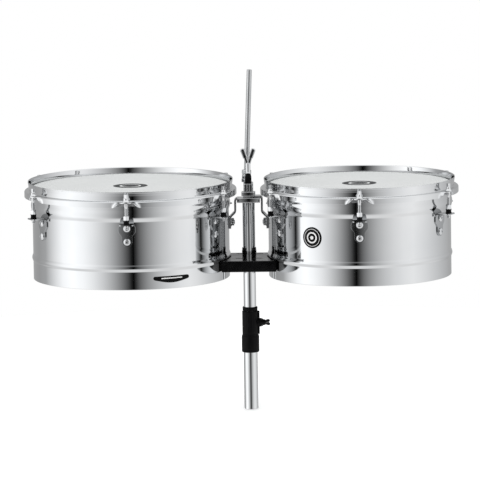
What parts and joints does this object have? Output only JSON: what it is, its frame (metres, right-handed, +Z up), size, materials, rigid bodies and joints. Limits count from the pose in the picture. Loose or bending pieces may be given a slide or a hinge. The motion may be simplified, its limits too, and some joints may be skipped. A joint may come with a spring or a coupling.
{
  "type": "timbales",
  "caption": "Pair of shallow chrome-shelled timbales held by strap arms and a black cradle on a height-adjustable post with a cowbell rod.",
  "frame": {"origin": "centre of the lower tube's bottom end", "axes": "+Z up along the post, +X along the pair from the larger drum to the smaller, -Y towards the player"},
  "size_m": [0.7846, 0.4086, 0.617],
  "materials": {
    "chrome_shell": "mirror-polished chrome plate",
    "chrome_rim": "mirror-polished chrome plate",
    "chrome_hardware": "bright chrome plate",
    "chrome_tube": "bright chrome plate",
    "zinc_steel": "zinc-plated steel",
    "hoop_metal": "satin aluminium",
    "head_film": "matt white plastic film",
    "black_plastic": "satin moulded black nylon",
    "black_metal": "satin black powder coat",
    "black_rubber": "matt black rubber",
    "badge_black": "gloss black with a plain rim"
  },
  "bodies": {
    "lower_stand": {"lower_tube": "chrome_tube", "clamp_sleeve": "black_plastic", "clamp_body": "black_plastic", "clamp_cap": "black_plastic"},
    "post_bush": {"clamp_bush": "black_plastic"},
    "clamp_wing_bolt": {"clamp_wing_bolt": "black_plastic"},
    "post": {"left_shell": "chrome_shell", "left_drumhead": "head_film", "left_flesh_hoop": "hoop_metal", "left_rim": "chrome_rim", "left_receiver_nuts": "chrome_hardware", "left_nut_bushes": "black_plastic", "left_lug_brackets": "chrome_hardware", "left_lug_bolts": "chrome_hardware", "left_lug_nuts": "zinc_steel", "left_arm_bolt": "zinc_steel", "left_arm_nut": "chrome_hardware", "left_mount_arm": "chrome_hardware", "left_badge": "badge_black", "right_shell": "chrome_shell", "right_drumhead": "head_film", "right_flesh_hoop": "hoop_metal", "right_rim": "chrome_rim", "right_receiver_nuts": "chrome_hardware", "right_nut_bushes": "black_plastic", "right_lug_brackets": "chrome_hardware", "right_lug_bolts": "chrome_hardware", "right_lug_nuts": "zinc_steel", "right_arm_bolt": "zinc_steel", "right_arm_nut": "chrome_hardware", "right_mount_arm": "chrome_hardware", "right_badge": "badge_black", "post_tube": "chrome_tube", "post_plug": "zinc_steel", "cradle_plate": "black_metal", "cradle_seat_left": "black_rubber", "cradle_seat_right": "black_rubber", "cradle_collar": "black_metal", "cradle_pin": "zinc_steel", "top_bar": "chrome_hardware", "top_clamp_plate": "chrome_hardware"},
    "rod_holder": {"holder_block": "chrome_hardware", "rod_eye": "chrome_hardware", "rod_cap": "black_plastic"},
    "top_wing_bolt": {"top_wing_bolt": "chrome_hardware"},
    "cowbell_rod": {"cowbell_rod": "chrome_tube"},
    "left_rod_1": {"left_tension_rod_1": "chrome_hardware"},
    "left_rod_2": {"left_tension_rod_2": "chrome_hardware"},
    "left_rod_3": {"left_tension_rod_3": "chrome_hardware"},
    "left_rod_4": {"left_tension_rod_4": "chrome_hardware"},
    "left_rod_5": {"left_tension_rod_5": "chrome_hardware"},
    "left_rod_6": {"left_tension_rod_6": "chrome_hardware"},
    "right_rod_1": {"right_tension_rod_1": "chrome_hardware"},
    "right_rod_2": {"right_tension_rod_2": "chrome_hardware"},
    "right_rod_3": {"right_tension_rod_3": "chrome_hardware"},
    "right_rod_4": {"right_tension_rod_4": "chrome_hardware"},
    "right_rod_5": {"right_tension_rod_5": "chrome_hardware"},
    "right_rod_6": {"right_tension_rod_6": "chrome_hardware"}
  },
  "joints": [
    {"name": "post_swivel", "type": "hinge", "parent": "lower_stand", "child": "post_bush", "pos_m": [0, 0, 0.156], "axis": [0, 0, 1], "continuous": true},
    {"name": "post_height", "type": "slide", "parent": "post_bush", "child": "post", "axis": [0, 0, 1], "range_m": [-0.02, 0.06]},
    {"name": "clamp_bolt_turn", "type": "hinge", "parent": "lower_stand", "child": "clamp_wing_bolt", "pos_m": [0.03, 0, 0.158], "axis": [1, 0, 0], "range_deg": [-540, 90]},
    {"name": "holder_swivel", "type": "hinge", "parent": "post", "child": "rod_holder", "pos_m": [0, 0, 0.405], "axis": [0, 0, 1], "range_deg": [-20, 20]},
    {"name": "top_bolt_turn", "type": "hinge", "parent": "post", "child": "top_wing_bolt", "pos_m": [0, 0, 0.44], "axis": [0, 0, 1], "continuous": true},
    {"name": "rod_lift", "type": "slide", "parent": "rod_holder", "child": "cowbell_rod", "axis": [0.0419, 0, 0.9991], "range_m": [0, 0.03]},
    {"name": "left_rod_1_turn", "type": "hinge", "parent": "post", "child": "left_rod_1", "pos_m": [-0.2133, -0.1968, 0.39], "axis": [0, 0, 1], "continuous": true},
    {"name": "left_rod_2_turn", "type": "hinge", "parent": "post", "child": "left_rod_2", "pos_m": [-0.04287, -0.0984, 0.39], "axis": [0, 0, 1], "continuous": true},
    {"name": "left_rod_3_turn", "type": "hinge", "parent": "post", "child": "left_rod_3", "pos_m": [-0.04287, 0.0984, 0.39], "axis": [0, 0, 1], "continuous": true},
    {"name": "left_rod_4_turn", "type": "hinge", "parent": "post", "child": "left_rod_4", "pos_m": [-0.2133, 0.1968, 0.39], "axis": [0, 0, 1], "continuous": true},
    {"name": "left_rod_5_turn", "type": "hinge", "parent": "post", "child": "left_rod_5", "pos_m": [-0.38373, 0.0984, 0.39], "axis": [0, 0, 1], "continuous": true},
    {"name": "left_rod_6_turn", "type": "hinge", "parent": "post", "child": "left_rod_6", "pos_m": [-0.38373, -0.0984, 0.39], "axis": [0, 0, 1], "continuous": true},
    {"name": "right_rod_1_turn", "type": "hinge", "parent": "post", "child": "right_rod_1", "pos_m": [0.2006, -0.1841, 0.39], "axis": [0, 0, 1], "continuous": true},
    {"name": "right_rod_2_turn", "type": "hinge", "parent": "post", "child": "right_rod_2", "pos_m": [0.36003, -0.09205, 0.39], "axis": [0, 0, 1], "continuous": true},
    {"name": "right_rod_3_turn", "type": "hinge", "parent": "post", "child": "right_rod_3", "pos_m": [0.36003, 0.09205, 0.39], "axis": [0, 0, 1], "continuous": true},
    {"name": "right_rod_4_turn", "type": "hinge", "parent": "post", "child": "right_rod_4", "pos_m": [0.2006, 0.1841, 0.39], "axis": [0, 0, 1], "continuous": true},
    {"name": "right_rod_5_turn", "type": "hinge", "parent": "post", "child": "right_rod_5", "pos_m": [0.04117, 0.09205, 0.39], "axis": [0, 0, 1], "continuous": true},
    {"name": "right_rod_6_turn", "type": "hinge", "parent": "post", "child": "right_rod_6", "pos_m": [0.04117, -0.09205, 0.39], "axis": [0, 0, 1], "continuous": true}
  ]
}
